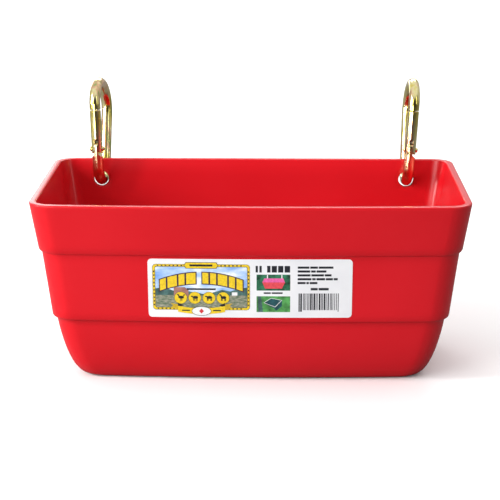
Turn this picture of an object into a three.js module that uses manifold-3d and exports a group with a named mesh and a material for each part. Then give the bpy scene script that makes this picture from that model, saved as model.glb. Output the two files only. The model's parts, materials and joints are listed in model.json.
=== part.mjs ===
// Trough feeder with two snap-hook clips.
// Millimetres, +Z up. Origin: centre of the flat underside of the trough.
// +X runs right along the trough, -Y is the labelled front, +Y the back wall that faces the fence.

import * as THREE from 'three';
import { mergeVertices } from 'three/addons/utils/BufferGeometryUtils.js';
import Module from 'manifold-3d';

const wasm = await Module();
wasm.setup();

// ---------------------------------------------------------------- driving dimensions

const LENGTH = 290;             // over the rim
const WIDTH = 160;              // over the rim, at the ends
const HEIGHT = 125;
const CORNER_RADIUS = 15;       // outside, in plan
const INNER_CORNER_RADIUS = 11;
const FRONT_BOW = 4;            // how far the front wall bulges at mid-length

const UPPER_LEDGE = { z: 91, width: 1.5 };
const LOWER_LEDGE = { z: 44, width: 1.8 };
const BAND_DRAFT = [0.153, 0.117, 0.096];      // top, middle and bottom band
const LEDGE_ROUND = 1.6;        // rounded lower edge of each band
const BASE_CURVE = { width: 13, height: 58 };  // quarter ellipse into the underside

const RIM_WIDTH = 4.8;
const RIM_ROUND = 0.9;
const INNER_DRAFT = 0.15;
const INNER_CURVE = { width: 12.5, height: 50 };
const FLOOR_THICKNESS = 3.5;

const HOLE_DIAMETER = 11;
const HOLE_SPAN = 223.6;        // between the two clip holes
const HOLE_Z = HEIGHT - 14.4;

const LABEL = { length: 134, bottom: 48, top: 89, corner: 2.6, thickness: 0.3, gap: 0.3 };

const WIRE = 8;                 // clip wire diameter
const CLIP_LENGTH = 77.5;        // over the two bows
const LOWER_BOW_RADIUS = 10;    // the bow in the trough's hole, on the wire's centre line
const NOSE_BOW_RADIUS = 15;     // the upper bow, on the gate's side
const BACK_BOW_RADIUS = 19.5;   // the upper bow, on the spine's side
const RIVET_HEIGHT = 19.8;      // above the centre line of the lower bow
const SPLIT_HEIGHT = 46.5;      // where the gate ends and the nose begins
const CLIP_Y = 76;
const CLIP_Z = HEIGHT - 15.2;

const GAP = 0.3;                // between neighbouring clip pieces
const NOSE_GAP = 0.6;           // lets the gate's outer corner pass under the nose
const TONGUE = { thickness: 2.7, top: 4.9, shoulder: -3.9, shoulderHeight: 2.4 };
const SLOT = { width: TONGUE.thickness + 2 * GAP, top: 7.4 };
const GATE_FOOT = 3.3;          // how far the gate reaches below its rivet
const RIVET = { shaft: 2.6, head: 3.8, headHeight: 1.7, seat: 3.5 };
const LATCH = { width: 2.4, length: 5.0, inner: -3.3, outer: 1.3 };
const BORE = { diameter: 3.6, top: 23 };
const PLUNGER = { diameter: 2.8, length: 5, nose: 1.0 };
const SPRING = { radius: 1.2, wire: 0.5, turns: 7 };

// How each clip stands: tipped back in its hole, its gate turned a little away from the trough's
// middle, and its top leaning out.
const CLIP_TIP = 22;
const CLIPS = [
  { name: 'left', x: -HOLE_SPAN / 2 + 0.8, yaw: -8.8, lean: -2.8 },
  { name: 'right', x: HOLE_SPAN / 2, yaw: 2.9, lean: 4 },
];

const CORNER_STEPS = 6;
const FRONT_STEPS = 12;
const LABEL_STEPS = 8;
const WIRE_SIDES = 12;
const WIRE_STEPS = 64;

// ---------------------------------------------------------------- materials

const redPlastic = new THREE.MeshStandardMaterial({ color: 0xd01c26, roughness: 0.28, metalness: 0 });
const labelStock = new THREE.MeshStandardMaterial({ color: 0xf4f4f2, roughness: 0.45, metalness: 0 });
const yellowZinc = new THREE.MeshStandardMaterial({ color: 0xcdbb6a, roughness: 0.2, metalness: 1 });
const springSteel = new THREE.MeshStandardMaterial({ color: 0x8f8f8c, roughness: 0.35, metalness: 1 });

// ---------------------------------------------------------------- solids

const degrees = THREE.MathUtils.degToRad;

/** A closed solid from rings of points (all the same count), with a fan closing each end. */
function loft(rings) {
  const count = rings[0].length;
  const points = rings.flat();
  const faces = [];
  for (let r = 0; r + 1 < rings.length; r++) {
    for (let i = 0; i < count; i++) {
      const a = r * count + i;
      const b = r * count + (i + 1) % count;
      faces.push(a, b, b + count, a, b + count, a + count);
    }
  }
  const closeEnd = (ring, first, flip) => {
    const middle = ring.reduce((sum, p) => sum.add(p), new THREE.Vector3()).divideScalar(count);
    points.push(middle);
    const m = points.length - 1;
    for (let i = 0; i < count; i++) {
      const [a, b] = [first + i, first + (i + 1) % count];
      faces.push(...(flip ? [m, b, a] : [m, a, b]));
    }
  };
  closeEnd(rings[0], 0, true);
  closeEnd(rings.at(-1), (rings.length - 1) * count, false);
  return new THREE.BufferGeometry().setFromPoints(points).setIndex(faces);
}

function toSolid(geometry) {
  const bare = geometry.clone();
  bare.deleteAttribute('normal');
  bare.deleteAttribute('uv');
  const merged = mergeVertices(bare, 1e-4);
  return new wasm.Manifold(new wasm.Mesh({
    numProp: 3,
    vertProperties: new Float32Array(merged.attributes.position.array),
    triVerts: new Uint32Array(merged.index.array),
  }));
}

function toGeometry(solid) {
  const mesh = solid.getMesh();
  const geometry = new THREE.BufferGeometry();
  geometry.setAttribute('position', new THREE.BufferAttribute(mesh.vertProperties, 3));
  geometry.setIndex(new THREE.BufferAttribute(mesh.triVerts, 1));
  return geometry;
}

function box(x, y, z) {
  const size = [x, y, z].map(([low, high]) => high - low);
  const middle = [x, y, z].map(([low, high]) => (low + high) / 2);
  return new THREE.BoxGeometry(...size).translate(...middle);
}

/** A cylinder along z, from low to high. */
function post(diameter, low, high, sides = 16) {
  const geometry = new THREE.CylinderGeometry(diameter / 2, diameter / 2, high - low, sides);
  return geometry.rotateX(Math.PI / 2).translate(0, 0, (low + high) / 2);
}

/** A cylinder along y, centred on y = 0. */
function pin(diameter, length, sides = 16) {
  return new THREE.CylinderGeometry(diameter / 2, diameter / 2, length, sides);
}

/** An outline in x and z, extruded along y and centred on y = 0. */
function slab(shape, thickness) {
  const geometry = new THREE.ExtrudeGeometry(shape, { depth: thickness, bevelEnabled: false, curveSegments: 8 });
  return geometry.rotateX(Math.PI / 2).translate(0, thickness / 2, 0);
}

// ---------------------------------------------------------------- trough

/** Inset of the outer wall from the rim's outline, at height z, apart from the ledge rounds. */
function outerInset(z) {
  const [top, middle, bottom] = BAND_DRAFT;
  const inset = (HEIGHT - Math.max(z, UPPER_LEDGE.z)) * top;
  if (z >= UPPER_LEDGE.z) return inset;
  const second = inset + UPPER_LEDGE.width + (UPPER_LEDGE.z - Math.max(z, LOWER_LEDGE.z)) * middle;
  if (z >= LOWER_LEDGE.z) return second;
  return second + LOWER_LEDGE.width + (LOWER_LEDGE.z - z) * bottom + curveIn(z, BASE_CURVE);
}

function innerInset(z) {
  return RIM_WIDTH + (HEIGHT - z) * INNER_DRAFT + curveIn(z - FLOOR_THICKNESS, INNER_CURVE);
}

/** A quarter ellipse that starts at the given height and is level at height 0. */
function curveIn(height, curve) {
  const drop = Math.max(0, 1 - height / curve.height);
  return curve.width * (1 - Math.sqrt(1 - drop * drop));
}

/** The trough's plan outline, moved in by inset, at height z. */
function planRing(inset, z, radius) {
  const a = LENGTH / 2 - inset;
  const b = WIDTH / 2 - inset;
  const ring = [];
  const corners = [[1, 1], [-1, 1], [-1, -1], [1, -1]];
  corners.forEach(([sx, sy], quarter) => {
    for (let i = 0; i <= CORNER_STEPS; i++) {
      const angle = (quarter + i / CORNER_STEPS) * Math.PI / 2;
      ring.push([sx * (a - radius) + radius * Math.cos(angle), sy * (b - radius) + radius * Math.sin(angle)]);
    }
    if (quarter === 2) {
      const straight = a - radius;
      for (let i = 1; i < FRONT_STEPS; i++) ring.push([straight * (2 * i / FRONT_STEPS - 1), -b]);
    }
  });
  return ring.map(([x, y]) => new THREE.Vector3(x, y < 0 ? y - bow(x, a) : y, z));
}

function bow(x, halfLength) {
  return FRONT_BOW * Math.max(0, 1 - (x / halfLength) ** 2);
}

function troughBody() {
  const outer = (z, extra = 0) => planRing(outerInset(z) + extra, z, CORNER_RADIUS);
  const inner = (z, extra = 0) => planRing(innerInset(z) + extra, z, INNER_CORNER_RADIUS);
  const underLedge = (ledge) => {
    const wall = outerInset(ledge.z);
    return [
      planRing(wall + ledge.width, ledge.z, CORNER_RADIUS),
      planRing(wall + LEDGE_ROUND * 0.3, ledge.z + LEDGE_ROUND * 0.3, CORNER_RADIUS),
      planRing(outerInset(ledge.z + LEDGE_ROUND), ledge.z + LEDGE_ROUND, CORNER_RADIUS),
    ];
  };
  const rings = [
    ...[0, 1, 3.5, 8, 15, 25].map((z) => outer(z)),
    ...underLedge(LOWER_LEDGE),
    ...underLedge(UPPER_LEDGE),
    outer(HEIGHT - RIM_ROUND),
    outer(HEIGHT, RIM_ROUND),
    inner(HEIGHT, -RIM_ROUND),
    inner(HEIGHT - RIM_ROUND),
    ...[54, 30, 18, 11, 6.5, 4.3, FLOOR_THICKNESS].map((z) => inner(z)),
  ];
  let solid = toSolid(loft(rings));
  for (const side of [-1, 1]) {
    const hole = pin(HOLE_DIAMETER, 40, 24).translate(side * HOLE_SPAN / 2, WIDTH / 2, HOLE_Z);
    solid = solid.subtract(toSolid(hole));
  }
  return toGeometry(solid);
}

/** The front wall's y at a place on its middle band. */
function frontWallY(x, z) {
  const inset = outerInset(z);
  return -(WIDTH / 2 - inset) - bow(x, LENGTH / 2 - inset);
}

/** A thin printed label that follows the bowed front wall, with rounded corners. */
function frontLabel() {
  const { length, bottom, top, corner, thickness, gap } = LABEL;
  const flat = length / 2 - corner;
  const stations = [];
  for (let i = 0; i <= LABEL_STEPS; i++) stations.push({ x: flat * (2 * i / LABEL_STEPS - 1), cut: 0 });
  for (const turn of [30, 60, 86].map(degrees)) {
    const [x, cut] = [flat + corner * Math.sin(turn), corner * (1 - Math.cos(turn))];
    stations.unshift({ x: -x, cut });
    stations.push({ x, cut });
  }
  const rings = stations.map(({ x, cut }) => {
    const [low, high] = [bottom + cut, top - cut];
    const point = (z, out) => new THREE.Vector3(x, frontWallY(x, z) - out, z);
    return [point(high, gap), point(high, gap + thickness), point(low, gap + thickness), point(low, gap)];
  });
  return loft(rings);
}

// ---------------------------------------------------------------- clips
// A clip is drawn standing in its own x-z plane: x towards the gate, z up,
// with z = 0 at the lowest point of the wire's centre line and the spine at x = -LOWER_BOW_RADIUS.

const TOP = CLIP_LENGTH - WIRE;
const NOSE_CENTRE = new THREE.Vector2(BACK_BOW_RADIUS - LOWER_BOW_RADIUS, TOP - NOSE_BOW_RADIUS);
const BOW_CENTRE = new THREE.Vector2(0, LOWER_BOW_RADIUS);

/** The gate's lean from upright: the line that touches both the nose bow and the lower bow. */
const GATE_LEAN = (() => {
  const across = NOSE_CENTRE.clone().sub(BOW_CENTRE);
  return Math.atan2(across.x, across.y) + Math.asin((NOSE_BOW_RADIUS - LOWER_BOW_RADIUS) / across.length());
})();

/** The point on the gate's centre line at height z. */
function gateLine(z) {
  const touch = BOW_CENTRE.clone().add(
    new THREE.Vector2(Math.cos(GATE_LEAN), -Math.sin(GATE_LEAN)).multiplyScalar(LOWER_BOW_RADIUS));
  return new THREE.Vector2(touch.x + (z - touch.y) * Math.tan(GATE_LEAN), z);
}

const RIVET_POINT = gateLine(RIVET_HEIGHT);
const GATE_TOP = (SPLIT_HEIGHT - RIVET_HEIGHT) / Math.cos(GATE_LEAN);   // along the gate from its rivet

/** Moves a geometry from the gate's frame (z along the gate, origin at the rivet) to the clip's. */
function onGateLine(geometry) {
  return geometry.rotateY(GATE_LEAN).translate(RIVET_POINT.x, 0, RIVET_POINT.y);
}

class FlatCurve extends THREE.Curve {
  constructor(path) {
    super();
    this.path = path;
  }

  getPoint(t, target = new THREE.Vector3()) {
    const point = this.path.getPoint(t);
    return target.set(point.x, 0, point.y);
  }
}

/** The wire's centre line: nose, upper bow, spine, lower bow, and up to the tongue's top. */
function hookPath() {
  const tongueTop = RIVET_POINT.clone().add(
    new THREE.Vector2(Math.sin(GATE_LEAN), Math.cos(GATE_LEAN)).multiplyScalar(TONGUE.top));
  const noseStart = gateLine(SPLIT_HEIGHT);
  const noseBend = gateLine(NOSE_CENTRE.y - NOSE_BOW_RADIUS * Math.sin(GATE_LEAN));
  const path = new THREE.Path();
  path.moveTo(noseStart.x, noseStart.y);
  path.lineTo(noseBend.x, noseBend.y);
  path.absarc(NOSE_CENTRE.x, NOSE_CENTRE.y, NOSE_BOW_RADIUS, -GATE_LEAN, Math.PI / 2);
  path.absarc(NOSE_CENTRE.x, TOP - BACK_BOW_RADIUS, BACK_BOW_RADIUS, Math.PI / 2, Math.PI);
  path.lineTo(-LOWER_BOW_RADIUS, LOWER_BOW_RADIUS);
  path.absarc(BOW_CENTRE.x, BOW_CENTRE.y, LOWER_BOW_RADIUS, Math.PI, 2 * Math.PI - GATE_LEAN);
  path.lineTo(tongueTop.x, tongueTop.y);
  return new FlatCurve(path);
}

function wireSection() {
  const points = [];
  for (let i = 0; i < WIRE_SIDES; i++) {
    const angle = (i + 0.5) / WIRE_SIDES * 2 * Math.PI;
    points.push(new THREE.Vector2(Math.cos(angle), Math.sin(angle)).multiplyScalar(WIRE / 2));
  }
  return new THREE.Shape(points);
}

function hook() {
  const wire = new THREE.ExtrudeGeometry(wireSection(), { steps: WIRE_STEPS, extrudePath: hookPath() });
  let solid = toSolid(wire);
  const cut = (geometry) => {
    solid = solid.subtract(toSolid(onGateLine(geometry)));
  };

  // The nose ends square, just above the gate, with a slot that is open towards the spine.
  const noseEnd = GATE_TOP + NOSE_GAP;
  cut(box([-7, 7], [-7, 7], [GATE_TOP - 6, noseEnd]));
  const latchWidth = LATCH.width / 2 + GAP;
  cut(box([-8, LATCH.outer + GAP], [-latchWidth, latchWidth], [noseEnd - 1, GATE_TOP + LATCH.length + GAP]));

  // The other end is flattened to a tongue between two sloping shoulders.
  const half = TONGUE.thickness / 2;
  for (const side of [-1, 1]) {
    const relief = new THREE.Shape([
      new THREE.Vector2(half, TONGUE.top + 2),
      new THREE.Vector2(half, TONGUE.shoulder),
      new THREE.Vector2(WIRE / 2 + 0.4, TONGUE.shoulder - TONGUE.shoulderHeight),
      new THREE.Vector2(WIRE, TONGUE.shoulder - TONGUE.shoulderHeight),
      new THREE.Vector2(WIRE, TONGUE.top + 2),
    ]);
    cut(slab(relief, 2 * WIRE).rotateZ(side * Math.PI / 2));
  }
  const corner = new THREE.Shape();
  corner.moveTo(WIRE, TONGUE.top + 2);
  corner.lineTo(0.6, TONGUE.top + 2);
  corner.lineTo(0.6, TONGUE.top);
  corner.absarc(0.6, TONGUE.top - 3.4, 3.4, Math.PI / 2, 0, true);
  corner.lineTo(WIRE, TONGUE.top - 3.4);
  cut(slab(corner, WIRE));
  cut(pin(RIVET.shaft + 2 * GAP, 2 * WIRE));
  return toGeometry(solid);
}

function gate() {
  // A round rod with a rounded foot.
  const foot = new THREE.Shape();
  const radius = WIRE / 2 + 0.1;
  foot.moveTo(-radius, GATE_TOP + 10);
  foot.lineTo(-radius, radius - GATE_FOOT);
  foot.absarc(0, radius - GATE_FOOT, radius, Math.PI, 2 * Math.PI);
  foot.lineTo(radius, GATE_TOP + 10);
  let solid = toSolid(post(WIRE, -GATE_FOOT - 1, GATE_TOP)).intersect(toSolid(slab(foot, 2 * WIRE)));

  // Slot for the tongue, blind bore for the spring, and the rivet's hole and seats.
  const halfSlot = SLOT.width / 2;
  solid = solid.subtract(toSolid(box([-WIRE, WIRE], [-halfSlot, halfSlot], [-WIRE, SLOT.top])));
  solid = solid.subtract(toSolid(post(BORE.diameter, SLOT.top - 1, BORE.top)));
  solid = solid.subtract(toSolid(pin(RIVET.shaft + 2 * GAP, 2 * WIRE)));
  for (const side of [-1, 1]) {
    const seat = pin(RIVET.head + 2 * GAP, WIRE).translate(0, side * (RIVET.seat + WIRE / 2), 0);
    solid = solid.subtract(toSolid(seat));
  }

  // The latch tongue that enters the nose.
  const half = LATCH.width / 2;
  const latch = box([LATCH.inner, LATCH.outer], [-half, half], [GATE_TOP - 1, GATE_TOP + LATCH.length]);
  solid = solid.add(toSolid(latch));
  return toGeometry(solid);
}

/** A headed rivet along y: shaft and two domed heads, as one turned shape. */
function gateRivet() {
  const seat = RIVET.seat + GAP;
  const crown = seat + RIVET.headHeight;
  const radius = RIVET.head / 2;
  const half = [
    [0, crown], [radius * 0.55, crown - 0.25], [radius * 0.9, crown - 0.75], [radius, crown - 1.2],
    [radius, seat], [RIVET.shaft / 2, seat],
  ];
  const profile = [...half, ...half.map(([r, y]) => [r, -y]).reverse()];
  const points = profile.map(([r, y]) => new THREE.Vector2(r, y)).reverse();
  return new THREE.LatheGeometry(points, 16);
}

/** A round-ended pin that rests on the tongue's top, drawn along the gate. */
function gatePlunger() {
  const radius = PLUNGER.diameter / 2;
  const low = TONGUE.top + GAP;
  const profile = [
    [0, low], [radius * 0.6, low], [radius, low + PLUNGER.nose * 0.6],
    [radius, low + PLUNGER.length], [0, low + PLUNGER.length],
  ];
  return new THREE.LatheGeometry(profile.map(([r, z]) => new THREE.Vector2(r, z)), 12).rotateX(Math.PI / 2);
}

class Helix extends THREE.Curve {
  constructor(radius, low, high, turns) {
    super();
    Object.assign(this, { radius, low, high, turns });
  }

  getPoint(t, target = new THREE.Vector3()) {
    const angle = t * this.turns * 2 * Math.PI;
    const z = this.low + t * (this.high - this.low);
    return target.set(this.radius * Math.cos(angle), this.radius * Math.sin(angle), z);
  }
}

/** The compression spring between the plunger and the end of the gate's bore. */
function gateSpring() {
  const low = TONGUE.top + GAP + PLUNGER.length + GAP + SPRING.wire / 2;
  const high = BORE.top - GAP - SPRING.wire / 2;
  const section = new THREE.Shape();
  section.absarc(0, 0, SPRING.wire / 2, 0, 2 * Math.PI);
  const coil = new Helix(SPRING.radius, low, high, SPRING.turns);
  return new THREE.ExtrudeGeometry(section, { steps: SPRING.turns * 10, curveSegments: 3, extrudePath: coil });
}

// ---------------------------------------------------------------- assembly

function addMesh(parent, name, geometry, material) {
  const mesh = new THREE.Mesh(geometry, material);
  mesh.name = name;
  parent.add(mesh);
}

/** A clip in its hole. It tips back about its lower bow's centre, which stays right above the hole. */
function clip({ name, x, yaw, lean }) {
  const hung = new THREE.Group();
  hung.position.set(x, CLIP_Y, CLIP_Z);
  hung.rotation.set(0, degrees(lean), degrees(yaw - 90), 'YXZ');

  const group = new THREE.Group();
  const tip = degrees(CLIP_TIP);
  group.position.set(Math.sin(tip), 0, 1 - Math.cos(tip)).multiplyScalar(LOWER_BOW_RADIUS);
  group.rotation.y = -tip;
  hung.add(group);
  addMesh(group, `${name}_hook`, hook(), yellowZinc);

  const gateGroup = new THREE.Group();
  gateGroup.position.set(RIVET_POINT.x, 0, RIVET_POINT.y);
  gateGroup.rotation.y = GATE_LEAN;
  addMesh(gateGroup, `${name}_gate`, gate(), yellowZinc);
  addMesh(gateGroup, `${name}_gate_rivet`, gateRivet(), yellowZinc);
  addMesh(gateGroup, `${name}_gate_plunger`, gatePlunger(), springSteel);
  addMesh(gateGroup, `${name}_gate_spring`, gateSpring(), springSteel);
  group.add(gateGroup);
  return hung;
}

const feeder = new THREE.Group();
addMesh(feeder, 'trough_body', troughBody(), redPlastic);
addMesh(feeder, 'front_label', frontLabel(), labelStock);
for (const placement of CLIPS) feeder.add(clip(placement));

export default feeder;
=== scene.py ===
"""Looks for the trough feeder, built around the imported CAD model.

The red trough, its printed label and the two snap-hook clips are made here as fine meshes that
stand for the faceted CAD nodes. Sizes in the tables are in millimetres; meshes are in metres.
"""

import json
import math
import random

import bmesh
import bpy
from mathutils import Matrix, Vector


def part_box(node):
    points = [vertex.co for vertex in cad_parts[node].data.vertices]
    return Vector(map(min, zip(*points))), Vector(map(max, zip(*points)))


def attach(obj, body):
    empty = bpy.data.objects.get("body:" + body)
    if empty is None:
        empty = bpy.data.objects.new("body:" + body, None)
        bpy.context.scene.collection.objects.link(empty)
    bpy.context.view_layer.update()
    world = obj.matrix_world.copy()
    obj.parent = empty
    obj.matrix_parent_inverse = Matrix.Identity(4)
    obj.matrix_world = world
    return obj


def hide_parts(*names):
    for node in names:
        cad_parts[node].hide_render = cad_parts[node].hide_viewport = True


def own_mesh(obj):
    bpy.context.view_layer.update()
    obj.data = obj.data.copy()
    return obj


MM = 0.001

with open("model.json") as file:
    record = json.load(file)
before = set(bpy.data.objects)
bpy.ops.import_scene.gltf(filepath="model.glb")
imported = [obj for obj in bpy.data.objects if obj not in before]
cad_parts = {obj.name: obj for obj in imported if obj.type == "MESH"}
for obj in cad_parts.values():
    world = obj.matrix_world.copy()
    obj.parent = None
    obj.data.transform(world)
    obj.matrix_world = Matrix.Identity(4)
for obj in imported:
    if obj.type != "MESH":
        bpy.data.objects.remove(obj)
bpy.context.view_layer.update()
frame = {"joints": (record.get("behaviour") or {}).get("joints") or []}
joints = {joint["name"]: joint for joint in frame["joints"]}

# ------------------------------------------------------------------ dimensions, mm

TROUGH_LOW, TROUGH_HIGH = (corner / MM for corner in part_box("trough_body"))
HEIGHT = TROUGH_HIGH.z
BAND_DRAFT = (0.153, 0.117, 0.096)
RIM_ROUND = 0.9
HALF_LENGTH = TROUGH_HIGH.x + BAND_DRAFT[0] * RIM_ROUND
HALF_WIDTH = TROUGH_HIGH.y + BAND_DRAFT[0] * RIM_ROUND
FRONT_BOW = 4.0
CORNER_RADIUS = 15.0
INNER_CORNER_RADIUS = 11.0
UPPER_LEDGE = {"z": 91.0, "width": 1.5}
LOWER_LEDGE = {"z": 44.0, "width": 1.8}
LEDGE_ROUND = 1.5
LEDGE_FILLET = 0.35
RIM_SHOULDER = 2.6
UPPER_BAND_LEVEL = 97.0
INNER_LEVELS = (96, 88, 80, 72, 64, 56)
BASE_CURVE = {"width": 13.0, "height": 58.0}
RIM_WIDTH = 4.8
INNER_DRAFT = 0.15
INNER_CURVE = {"width": 12.5, "height": 50.0}
FLOOR_THICKNESS = 3.5
HOLE_RADIUS = 5.5
HOLE_X = 111.8
HOLE_Z = HEIGHT - 14.4
HOLE_PATCH = 9.0
HOLE_CELLS = 8
HOLE_EDGE = 0.45

LABEL = {"length": 134.0, "bottom": 48.0, "top": 89.0, "corner": 2.6}
LABEL_THICKNESS = 0.14
INK = 0.016

WIRE = 8.0
CLIP_LENGTH = 77.5
LOWER_BOW_RADIUS = 10.0
NOSE_BOW_RADIUS = 15.0
BACK_BOW_RADIUS = 19.5
RIVET_HEIGHT = 19.8
SPLIT_HEIGHT = 46.5
GAP = 0.3
NOSE_GAP = 0.6
TONGUE = {"thickness": 2.7, "top": 4.9, "shoulder": -3.9, "shoulder_height": 2.4}
SLOT = {"width": 3.3, "top": 7.4}
GATE_FOOT = 3.3
RIVET = {"shaft": 2.6, "head": 3.8, "head_height": 1.7, "seat": 3.5}
LATCH = {"width": 2.4, "length": 5.0, "inner": -3.3, "outer": 1.3}
BORE = {"diameter": 3.6, "top": 23.0}
PLUNGER = {"diameter": 2.8, "length": 5.0}
SPRING = {"radius": 1.2, "wire": 0.5, "turns": 7}


# ------------------------------------------------------------------ materials


class Nodes:
    """A short way to write a material's node tree."""

    def __init__(self, name):
        self.material = bpy.data.materials.new(name)
        self.material.use_nodes = True
        self.tree = self.material.node_tree
        self.shader = self.tree.nodes["Principled BSDF"]
        self.place = self.add("ShaderNodeTexCoord").outputs["Object"]

    def add(self, kind, inputs=None, **settings):
        node = self.tree.nodes.new(kind)
        for key, value in settings.items():
            setattr(node, key, value)
        for key, value in (inputs or {}).items():
            if isinstance(value, bpy.types.NodeSocket):
                self.tree.links.new(value, node.inputs[key])
            else:
                node.inputs[key].default_value = value
        return node

    def set(self, **values):
        """Shader inputs by name, with underscores for spaces; a socket is linked and a value is set."""
        for key, value in values.items():
            target = self.shader.inputs[key.replace("_", " ")]
            if isinstance(value, bpy.types.NodeSocket):
                self.tree.links.new(value, target)
            else:
                target.default_value = value
        return self

    def noise(self, scale, detail=3.0, stretch=(1, 1, 1), roughness=0.5):
        mapped = self.add("ShaderNodeMapping", {"Vector": self.place, "Scale": stretch})
        inputs = {"Vector": mapped.outputs[0], "Scale": scale, "Detail": detail, "Roughness": roughness}
        return self.add("ShaderNodeTexNoise", inputs).outputs["Fac"]

    def ramp(self, factor, *stops):
        node = self.add("ShaderNodeValToRGB", {"Fac": factor})
        elements = node.color_ramp.elements
        while len(elements) < len(stops):
            elements.new(0.5)
        for element, (position, color) in zip(elements, stops):
            element.position = position
            element.color = (*color, 1)
        return node.outputs["Color"]

    def range(self, factor, low, high, start=0.0, end=1.0):
        inputs = {"Value": factor, "From Min": start, "From Max": end, "To Min": low, "To Max": high}
        return self.add("ShaderNodeMapRange", inputs).outputs["Result"]

    def bump(self, height, distance, strength=1.0, normal=None):
        inputs = {"Height": height, "Distance": distance, "Strength": strength}
        if normal is not None:
            inputs["Normal"] = normal
        return self.add("ShaderNodeBump", inputs).outputs["Normal"]


def red_plastic():
    """Glossy moulded polyethylene: slow colour drift, paler convex edges as a painted highlight, faint
    ripple and fine grain.
    """
    n = Nodes("red_plastic")
    drift = n.ramp(n.noise(9, 2), (0.3, (0.58, 0.008, 0.014)), (0.7, (0.65, 0.011, 0.019)))
    # Convex edges, found by pointiness, are mixed towards a paler pink red: a painted highlight along the
    # edges.
    edges = n.add("ShaderNodeNewGeometry").outputs["Pointiness"]
    painted_edge_highlight = n.range(edges, 0.0, 0.35, 0.53, 0.62)
    blend = {"Factor": painted_edge_highlight, "A": drift, "B": (0.8, 0.04, 0.055, 1)}
    mixed = n.add("ShaderNodeMix", blend, data_type="RGBA")
    ripple = n.bump(n.noise(14, 1), 0.0004, 0.3)
    grain = n.bump(n.noise(900, 2), 0.00002, 0.2, ripple)
    rough = n.range(n.noise(30, 3), 0.2, 0.3)
    n.set(Base_Color=mixed.outputs["Result"], Roughness=rough, Normal=grain, IOR=1.35)
    return n.material


def yellow_zinc():
    """Yellow-passivated zinc on steel: straw, olive and pink streaks along the wire, mirror bright."""
    n = Nodes("yellow_zinc_steel")
    streaks = n.noise(95, 4, stretch=(1, 1, 0.22), roughness=0.6)
    film = n.ramp(
        streaks,
        (0.30, (0.32, 0.34, 0.10)),
        (0.42, (0.72, 0.58, 0.14)),
        (0.50, (0.78, 0.71, 0.38)),
        (0.58, (0.76, 0.46, 0.28)),
        (0.68, (0.38, 0.44, 0.16)),
    )
    ripple = n.bump(n.noise(160, 3, stretch=(1, 1, 0.3)), 0.00012, 0.5)
    grain = n.bump(n.noise(2500, 2), 0.00001, 0.3, ripple)
    rough = n.range(n.noise(420, 4), 0.08, 0.24)
    n.set(Base_Color=film, Metallic=1.0, Roughness=rough, Normal=grain)
    return n.material


def spring_steel():
    n = Nodes("spring_steel")
    # A very dark steel tone: the darkness is painted shade, standing in for the shade in the gate's slot
    # and bore where the plunger and spring sit.
    tone = n.ramp(n.noise(800, 3), (0.3, (0.09, 0.09, 0.085)), (0.7, (0.18, 0.175, 0.165)))
    n.set(Base_Color=tone, Metallic=1.0, Roughness=n.range(n.noise(1500, 3), 0.22, 0.4))
    return n.material


def label_film():
    """Satin white film with a faint cast and soft unevenness from the wall behind."""
    n = Nodes("label_film")
    cast = n.ramp(n.noise(45, 3), (0.3, (0.78, 0.78, 0.81)), (0.7, (0.85, 0.85, 0.87)))
    waves = n.bump(n.noise(110, 2), 0.00008, 0.4)
    n.set(Base_Color=cast, Roughness=n.range(n.noise(300, 3), 0.38, 0.5), Normal=waves)
    return n.material


def ink(name, color, spread=0.12, scale=700):
    """A printed colour with the slight mottle of a screened print."""
    n = Nodes(name)
    dark = [c * (1 - spread) for c in color]
    light = [min(1, c * (1 + spread)) for c in color]
    tone = n.ramp(n.noise(scale, 3), (0.35, dark), (0.65, light))
    n.set(Base_Color=tone, Roughness=n.range(n.noise(900, 2), 0.34, 0.46))
    return n.material


def sky_ink():
    """Blue sky with soft pale clouds."""
    n = Nodes("ink_sky")
    clouds = n.noise(75, 4, stretch=(1, 1, 2.2))
    tone = n.ramp(clouds, (0.38, (0.2, 0.38, 0.78)), (0.52, (0.45, 0.62, 0.9)), (0.66, (0.85, 0.9, 0.97)))
    n.set(Base_Color=tone, Roughness=n.range(n.noise(900, 2), 0.34, 0.46))
    return n.material


def field_ink():
    n = Nodes("ink_field")
    tufts = n.noise(420, 4, stretch=(1, 1, 2.5))
    tone = n.ramp(tufts, (0.35, (0.1, 0.15, 0.09)), (0.5, (0.22, 0.24, 0.17)), (0.68, (0.38, 0.36, 0.29)))
    n.set(Base_Color=tone, Roughness=n.range(n.noise(900, 2), 0.34, 0.46))
    return n.material


RED = red_plastic()
ZINC = yellow_zinc()
STEEL = spring_steel()
FILM = label_film()


# ------------------------------------------------------------------ mesh helpers


def piece(name, bm, materials, body, replaces=(), sharp=35):
    """Turns a bmesh in millimetres into a finished object that rides on a body."""
    bmesh.ops.scale(bm, vec=(MM, MM, MM), verts=bm.verts)
    mesh = bpy.data.meshes.new(name)
    bm.to_mesh(mesh)
    bm.free()
    obj = bpy.data.objects.new(name, mesh)
    bpy.context.scene.collection.objects.link(obj)
    for material in materials:
        mesh.materials.append(material)
    mesh.shade_smooth()
    mesh.set_sharp_from_angle(angle=math.radians(sharp))
    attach(obj, body)
    if replaces:
        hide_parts(*replaces)
    return obj


def scratch(bm):
    """A bmesh as a temporary object, for a boolean or a bevel."""
    mesh = bpy.data.meshes.new("scratch")
    bmesh.ops.recalc_face_normals(bm, faces=bm.faces)
    bm.to_mesh(mesh)
    bm.free()
    obj = bpy.data.objects.new("scratch", mesh)
    bpy.context.scene.collection.objects.link(obj)
    return obj


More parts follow.
